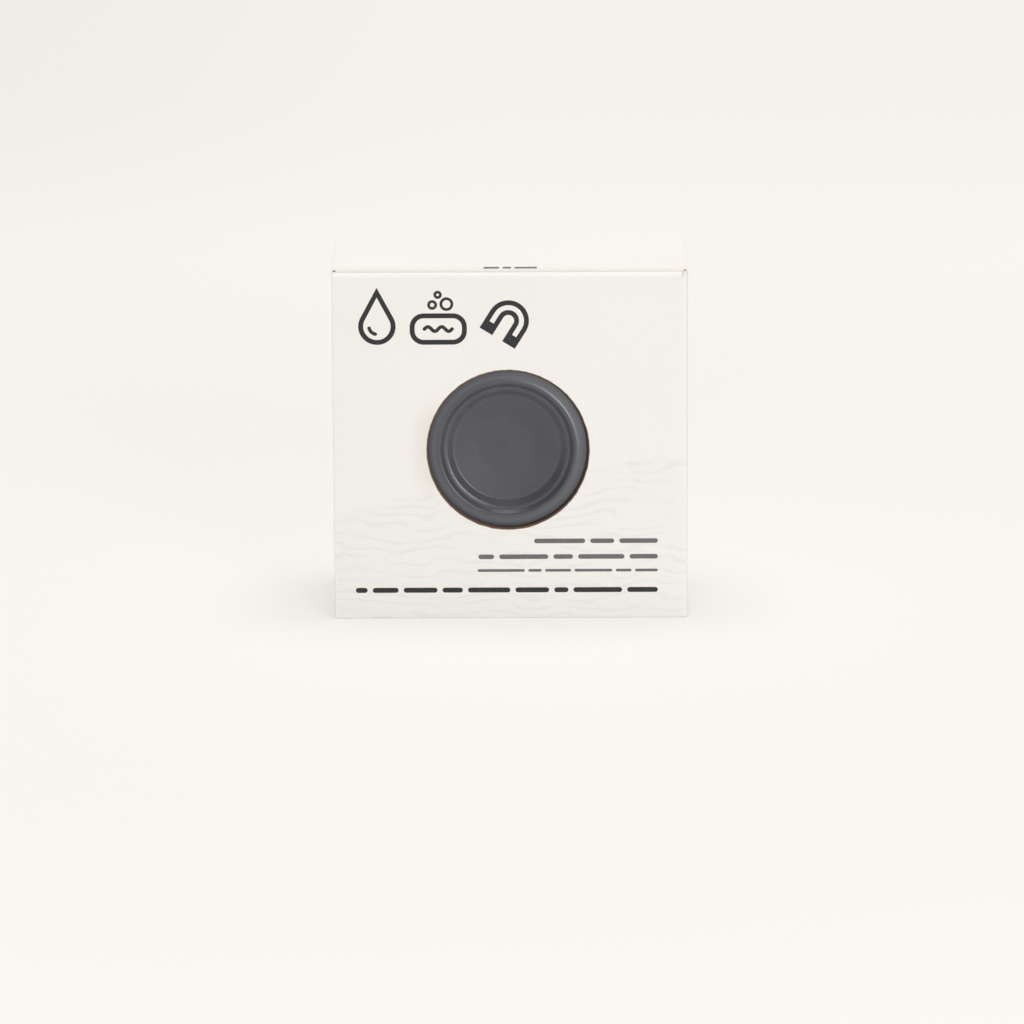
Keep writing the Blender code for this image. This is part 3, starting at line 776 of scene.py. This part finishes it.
def print_row(middle, height, gap, lengths):
    """A row of round-ended bars, set from the right."""
    bars, right = [], rows_right
    for length in lengths:
        bars.append(open_line([(right - length + height / 2, middle), (right - height / 2, middle)], height))
        right -= length + gap
    return bars


rows = print_row(0.0202, bar_high, bar_gap, (0.0098, 0.0061, 0.0130))
rows += print_row(0.0161, bar_high, bar_gap, (0.0072, 0.0118, 0.0050, 0.0125, 0.0040))
rows += print_row(0.0125, bar_low, bar_low_gap, (0.0058, 0.0040, 0.0096, 0.0066, 0.0034, 0.0120))
print_ink("print_lines_grey", rows, grey_ink, front_place, "carton")
rows = print_row(0.0074, bar_black, bar_gap,
                 (0.0078, 0.0124, 0.0036, 0.0086, 0.0108, 0.0052, 0.0086, 0.0066, 0.0030))
print_ink("print_lines_black", rows, black_ink, front_place, "carton")

shoulder_row, shoulder_bar = 0.00112, 0.00042
shoulder_bar_ends = ((-0.0064, -0.0028), (-0.0016, 0.0002), (0.0014, 0.0067))


def shoulder_spot(side, distance, rise):
    """On the lid's front shoulder, a distance round from its start."""
    y, z, heading = follow(lid_path, crease_length + lid_run + distance)
    reach = board / 2 + rise - ink_sunk
    return side, y + reach * math.sin(heading), z - reach * math.cos(heading)


rows = [open_line([(left, shoulder_row), (right, shoulder_row)], shoulder_bar)
        for left, right in shoulder_bar_ends]
print_ink("print_lid_shoulder", rows, grey_ink, shoulder_spot, "lid")

# Card saddle: a folded card bridge stands in the carton on two feet. A slot from above takes
# the holder's neck, so that the dish stays close behind the window.
saddle_light, saddle_dark = (0.84, 0.82, 0.77), (0.77, 0.745, 0.69)
saddle_finish, tree, shader = new_finish("saddle_card", saddle_light, roughness=0.8, gloss=0.25)
fibres = grain(tree, spot_on_piece(tree)[0], scale=650.0, detail=6.0)
paint(tree, shader, mottled(tree, fibres, saddle_dark, saddle_light, 0.35, 0.68))
emboss(tree, shader, fibres, depth=0.00002)
finish_node("card_saddle", saddle_finish, cut_edge_round)

# Holder body: moulded from recycled slate grey plastic with a fine matte texture. It has a
# dish with a land and a ledge round its floor, a head, a neck that stands in the saddle's
# slot, and a wall flange that takes the back plate.
holder_x, holder_z = -0.0009, 0.0438015
rim_y = -0.0209
dish_floor_y, ledge_y = rim_y + 0.0026, rim_y + 0.0010
cavity_y = rim_y + 0.0042
head_back_y = rim_y + 0.0105
neck_radius, flange_radius = 0.0130, 0.0220
flange_front_y, recess_y, flange_back_y = 0.0116, 0.0138, 0.0159
dish_flat, dish_edge, dish_rise, dish_curve = 0.0072, 0.0137, 0.0004, 0.0200
ledge_start, ledge_inner, ledge_outer, ledge_slope = 0.0151, 0.0156, 0.0160, 0.00012
land_inner, land_outer, land_end, land_slope = 0.0170, 0.0178, 0.0183, 0.00011
slope_outer, slope_fall, shoulder_radius, shoulder_fall = 0.0210, 0.0003, 0.0232, 0.0028
head_radius, head_side_y, head_side_end_y, head_foot = 0.0240, rim_y + 0.0048, rim_y + 0.0062, 0.0160
recess_radius, cavity_radius = 0.0193, 0.0118
hair_round, fine_round, soft_round, wide_round = 0.0002, 0.0003, 0.0006, 0.0012
dish_round, slope_round, shoulder_round, side_round = 0.0008, 0.0010, 0.0018, 0.0016
longest_share = 0.46
slate_dark, slate_light, slate_fleck = (0.055, 0.058, 0.068), (0.064, 0.067, 0.078), (0.13, 0.135, 0.15)
slate_painted_highlight = (0.098, 0.103, 0.118)
face_back_y = (rim_y + 0.0030, rim_y + 0.0045)
dish_painted_shade, dish_painted_shade_reach = 0.12, (0.0128, 0.0138)
edge_start, edge_top, edge_end, edge_end_share = 0.0174, 0.0182, 0.0200, 0.25
fleck_share, matte_range = 0.15, (0.33, 0.41)


def softened(profile, steps=5):
    """Round the corners of a profile of (radius, depth, corner radius)."""
    points = []
    for number, (across, along, radius) in enumerate(profile):
        here = Vector((across, along))
        if not radius:
            points.append(here)
            continue
        before = Vector(profile[number - 1][:2]) - here
        after = Vector(profile[number + 1][:2]) - here
        room = longest_share * min(before.length, after.length)
        reach = min(radius / math.tan(before.angle(after) / 2), room)
        start, end = here + before.normalized() * reach, here + after.normalized() * reach
        for share in spread(0.0, 1.0, steps):
            points.append(start * (1 - share) ** 2 + here * 2 * share * (1 - share) + end * share ** 2)
    return points


def turned(name, profile, finish, node):
    """Turn a profile round the holder's axis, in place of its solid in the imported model."""
    body = bmesh.new()
    around = 192
    rings = []
    for across, along in softened(profile):
        if across < same_spot:
            rings.append([body.verts.new((holder_x, along, holder_z))])
            continue
        rings.append([body.verts.new((holder_x + across * math.cos(2 * math.pi * step / around), along,
                                      holder_z + across * math.sin(2 * math.pi * step / around)))
                      for step in range(around)])
    for inner, outer in zip(rings, rings[1:]):
        for step in range(around):
            following = (step + 1) % around
            corners = [inner[step % len(inner)], inner[following % len(inner)],
                       outer[following % len(outer)], outer[step % len(outer)]]
            body.faces.new(dict.fromkeys(corners))
    piece = add_piece(name, body, [finish])
    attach(piece, "holder")
    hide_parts(node)


plastic_finish, tree, shader = new_finish("slate_recycled_plastic", slate_light, roughness=0.37, gloss=0.6)
place, x, y, z = spot_on_piece(tree)
texture = grain(tree, place, scale=2400.0, detail=4.0)
swirl = grain(tree, place, scale=110.0, warp=1.2)
fleck = fade(tree, grain(tree, place, scale=1400.0, detail=1.0), 0.70, 0.78)
colour = mottled(tree, swirl, slate_dark, slate_light)
off_axis = distance_to(tree, work_out(tree, "SUBTRACT", x, holder_x), work_out(tree, "SUBTRACT", z, holder_z))
on_face = fade(tree, y, *face_back_y, 1.0, 0.0)
# Painted shade: the dish floor on the holder's face is painted darker, towards black, fading out at its edge
dish_floor_painted_shade = fade(tree, off_axis, *dish_painted_shade_reach, dish_painted_shade, 0.0)
colour = blended(tree, times(tree, dish_floor_painted_shade, on_face), colour, (0.0, 0.0, 0.0))
# Painted highlight: a lighter ring on the land's outer edge, fading to a quarter share over the outer slope
rim_painted_highlight = times(tree, fade(tree, off_axis, edge_start, edge_top),
                fade(tree, off_axis, edge_top, edge_end, 1.0, edge_end_share))
colour = blended(tree, times(tree, rim_painted_highlight, on_face), colour, slate_painted_highlight)
paint(tree, shader, blended(tree, times(tree, fleck, fleck_share), colour, slate_fleck))
tree.links.new(fade(tree, texture, 0.3, 0.7, *matte_range), shader.inputs["Roughness"])
emboss(tree, shader, texture, depth=0.000012, strength=0.5)

turned("holder_body_moulded", [
    (0.0, dish_floor_y, 0), (dish_flat, dish_floor_y, dish_curve),
    (dish_edge, dish_floor_y - dish_rise, dish_round),
    (ledge_start, ledge_y + ledge_slope, soft_round), (ledge_inner, ledge_y, fine_round),
    (ledge_outer, ledge_y, fine_round), (land_inner, rim_y, soft_round), (land_outer, rim_y, soft_round),
    (land_end, rim_y + land_slope, soft_round), (slope_outer, rim_y + slope_fall, slope_round),
    (shoulder_radius, rim_y + shoulder_fall, shoulder_round), (head_radius, head_side_y, side_round),
    (head_radius, head_side_end_y, wide_round), (head_foot, head_back_y, wide_round),
    (neck_radius, head_back_y, hair_round), (neck_radius, flange_front_y, hair_round),
    (flange_radius, flange_front_y, wide_round), (flange_radius, flange_back_y, wide_round),
    (recess_radius, flange_back_y, hair_round), (recess_radius, recess_y, 0.0),
    (cavity_radius, recess_y, hair_round), (cavity_radius, cavity_y, hair_round), (0.0, cavity_y, 0)],
    plastic_finish, "holder_body")

# Back plate, pad and liner: a moulded plate closes the holder's back, and its tube keeps the
# magnet in place. A foam pad fixes it to the wall, under a release liner with a pull tab.
plate_radius, plate_front_y, plate_back_y = 0.0190, 0.0141, 0.0156
tube_outer, tube_inner, tube_front_y = 0.0115, 0.0097, -0.0096
pad_radius, pad_front_y, pad_back_y = 0.0185, 0.0159, 0.0169
foam_light, foam_dark = (0.76, 0.76, 0.74), (0.60, 0.60, 0.58)
liner_light, liner_dark = (0.46, 0.54, 0.60), (0.43, 0.51, 0.57)
plate_fillet = 0.0004
liner_round = 0.00005
turned("back_plate_moulded", [
    (0.0, plate_back_y, 0), (plate_radius, plate_back_y, fine_round),
    (plate_radius, plate_front_y, fine_round), (tube_outer, plate_front_y, plate_fillet),
    (tube_outer, tube_front_y, fine_round), (tube_inner, tube_front_y, fine_round),
    (tube_inner, plate_front_y, plate_fillet), (0.0, plate_front_y, 0)],
    plastic_finish, "back_plate")

foam_finish, tree, shader = new_finish("white_foam", foam_light, roughness=0.9, gloss=0.2)
cells = tree.nodes.new("ShaderNodeTexVoronoi")
cells.inputs["Scale"].default_value = 3200.0
tree.links.new(spot_on_piece(tree)[0], cells.inputs["Vector"])
cell = cells.outputs["Distance"]
paint(tree, shader, mottled(tree, cell, foam_dark, foam_light, low=0.1))
emboss(tree, shader, cell, depth=0.00006, strength=0.8)
turned("adhesive_pad_foam", [
    (0.0, pad_front_y, 0), (pad_radius, pad_front_y, hair_round), (pad_radius, pad_back_y, hair_round),
    (0.0, pad_back_y, 0)], foam_finish, "adhesive_pad")

liner_finish, tree, shader = new_finish("silicone_release_paper", liner_light, roughness=0.38)
place = spot_on_piece(tree)[0]
paint(tree, shader, mottled(tree, grain(tree, place, scale=160.0), liner_dark, liner_light))
emboss(tree, shader, grain(tree, place, scale=420.0, detail=2.0), depth=0.00003, strength=0.4)
finish_node("release_liner", liner_finish, liner_round, segments=1)

# Magnet and soap plate: a nickel plated magnet sits in a steel cup behind the dish floor. The
# toothed steel plate is pressed from sheet, zinc plated, and is stored loose under the neck.
cup_radius, cup_inner, cup_front_y, cup_back_y, cup_floor_y = 0.0115, 0.0100, -0.0164, -0.0099, -0.0114
magnet_radius, magnet_back_y = 0.0097, -0.0117
zinc_light, zinc_dark = (0.60, 0.60, 0.585), (0.50, 0.50, 0.49)
nickel_light, nickel_dark = (0.66, 0.65, 0.61), (0.56, 0.55, 0.52)
sheen_drop, sheen_rise = 0.06, 0.08
soap_plate_round = 0.00015


def plated(name, dark, light, roughness, streak):
    """Plated metal with faint streaks and a slightly uneven sheen."""
    finish, tree, shader = new_finish(name, light, roughness, metallic=1.0)
    place = spot_on_piece(tree)[0]
    streaks = grain(tree, place, scale=500.0, detail=4.0, stretch=streak)
    paint(tree, shader, mottled(tree, streaks, dark, light))
    smears = grain(tree, place, scale=900.0)
    tree.links.new(fade(tree, smears, 0.3, 0.7, roughness - sheen_drop, roughness + sheen_rise),
                   shader.inputs["Roughness"])
    emboss(tree, shader, streaks, depth=0.000006, strength=0.5)
    return finish


zinc_finish = plated("zinc_plated_steel", zinc_dark, zinc_light, roughness=0.34, streak=(1.0, 1.0, 6.0))
nickel_finish = plated("nickel_plate", nickel_dark, nickel_light, roughness=0.20, streak=(1.0, 1.0, 1.0))
turned("magnet_cup_pressed", [
    (0.0, cup_floor_y, 0), (cup_inner, cup_floor_y, soft_round), (cup_inner, cup_front_y, fine_round),
    (cup_radius, cup_front_y, fine_round), (cup_radius, cup_back_y, wide_round), (0.0, cup_back_y, 0)],
    zinc_finish, "magnet_cup")
turned("magnet_disc", [
    (0.0, cup_front_y, 0), (magnet_radius, cup_front_y, plate_fillet),
    (magnet_radius, magnet_back_y, plate_fillet), (0.0, magnet_back_y, 0)],
    nickel_finish, "magnet")
finish_node("soap_plate", zinc_finish, soap_plate_round)

# Floor, light and camera: a plain pale floor fills the frame and keeps the carton's shadow. A
# large soft lamp hangs overhead and another stands in front, a little to the right.
floor_white, glow_near, glow_far = (0.86, 0.845, 0.805), (1.0, 0.975, 0.925), (0.925, 0.895, 0.865)
glow_left_painted_shade = (0.885, 0.850, 0.810)
shadow_reach, glow_reach, far_reach, left_reach = 0.15, 0.55, 0.85, 0.22
glow_near_share, glow_far_share = 0.52, 0.97
floor_reach = 6.0
floor_finish, tree, shader = new_finish("pale_floor", floor_white, roughness=0.9, gloss=0.1)
x, y = spot_on_piece(tree)[1:3]
away = distance_to(tree, x, y)
glow = tree.nodes.new("ShaderNodeEmission")
# Painted shade: the glow that the camera sees is darker further back and on the left, as if less lamp light
# reached there
far_glow_painted_shade = blended(tree, fade(tree, x, -left_reach, 0.0, 1.0, 0.0), glow_far, glow_left_painted_shade)
tree.links.new(blended(tree, fade(tree, y, 0.0, far_reach), glow_near, far_glow_painted_shade), glow.inputs["Color"])
rays = tree.nodes.new("ShaderNodeLightPath")
seen = work_out(tree, "MAXIMUM", rays.outputs["Is Camera Ray"], rays.outputs["Is Glossy Ray"])
seen = work_out(tree, "MAXIMUM", seen, rays.outputs["Is Transmission Ray"])
mixed = tree.nodes.new("ShaderNodeMixShader")
glow_share = fade(tree, away, shadow_reach, glow_reach, glow_near_share, glow_far_share)
tree.links.new(times(tree, seen, glow_share), mixed.inputs[0])
tree.links.new(shader.outputs[0], mixed.inputs[1])
tree.links.new(glow.outputs[0], mixed.inputs[2])
tree.links.new(mixed.outputs[0], tree.nodes["Material Output"].inputs["Surface"])
mesh = bpy.data.meshes.new("floor")
mesh.from_pydata([(-floor_reach, -floor_reach, 0), (floor_reach, -floor_reach, 0),
                  (floor_reach, floor_reach, 0), (-floor_reach, floor_reach, 0)], [], [(0, 1, 2, 3)])
mesh.materials.append(floor_finish)
floor = bpy.data.objects.new("floor", mesh)
bpy.context.scene.collection.objects.link(floor)

world = bpy.data.worlds.new("soft_sky")
world.use_nodes = True
sky = world.node_tree.nodes["Background"]
sky.inputs["Color"].default_value = (1.0, 0.995, 0.985, 1.0)
sky.inputs["Strength"].default_value = 0.30
bpy.context.scene.world = world
lamp_aim = Vector((0.0, 0.0, 0.045))


def soft_lamp(name, spot, size, power, colour):
    """A large round soft lamp that faces the carton."""
    lamp = bpy.data.lights.new(name, "AREA")
    lamp.shape = "DISK"
    lamp.size = size
    lamp.energy = power
    lamp.color = colour
    stand = bpy.data.objects.new(name, lamp)
    stand.location = spot
    stand.rotation_euler = (lamp_aim - stand.location).to_track_quat("-Z", "Y").to_euler()
    bpy.context.scene.collection.objects.link(stand)


soft_lamp("overhead_lamp", spot=(0.02, 0.05, 1.32), size=0.9, power=13.2, colour=(1.0, 0.99, 0.98))
soft_lamp("front_lamp", spot=(0.60, -1.47, 0.21), size=0.5, power=11.3, colour=(0.98, 0.975, 1.0))

view_turn, view_rise, view_roll = math.radians(0.293), math.radians(12.996), math.radians(-0.2745)
view_distance = 1.65
aim = Vector((0.0002, 0.0, 0.0226))
back = Vector((math.sin(view_turn) * math.cos(view_rise), -math.cos(view_turn) * math.cos(view_rise),
               math.sin(view_rise)))
right = Vector((math.cos(view_turn), math.sin(view_turn), 0.0))
up = back.cross(right)
rolled_right = right * math.cos(view_roll) + up * math.sin(view_roll)
rolled_up = up * math.cos(view_roll) - right * math.sin(view_roll)
camera_data = bpy.data.cameras.new("camera")
camera_data.sensor_width = 36.0
camera_data.lens = 224.9
camera_data.clip_end = 100.0
camera = bpy.data.objects.new("camera", camera_data)
turned_view = Matrix((rolled_right, rolled_up, back)).transposed().to_4x4()
camera.matrix_world = Matrix.Translation(aim + back * view_distance) @ turned_view
bpy.context.scene.collection.objects.link(camera)
bpy.context.scene.camera = camera
bpy.context.scene.view_settings.view_transform = "Standard"
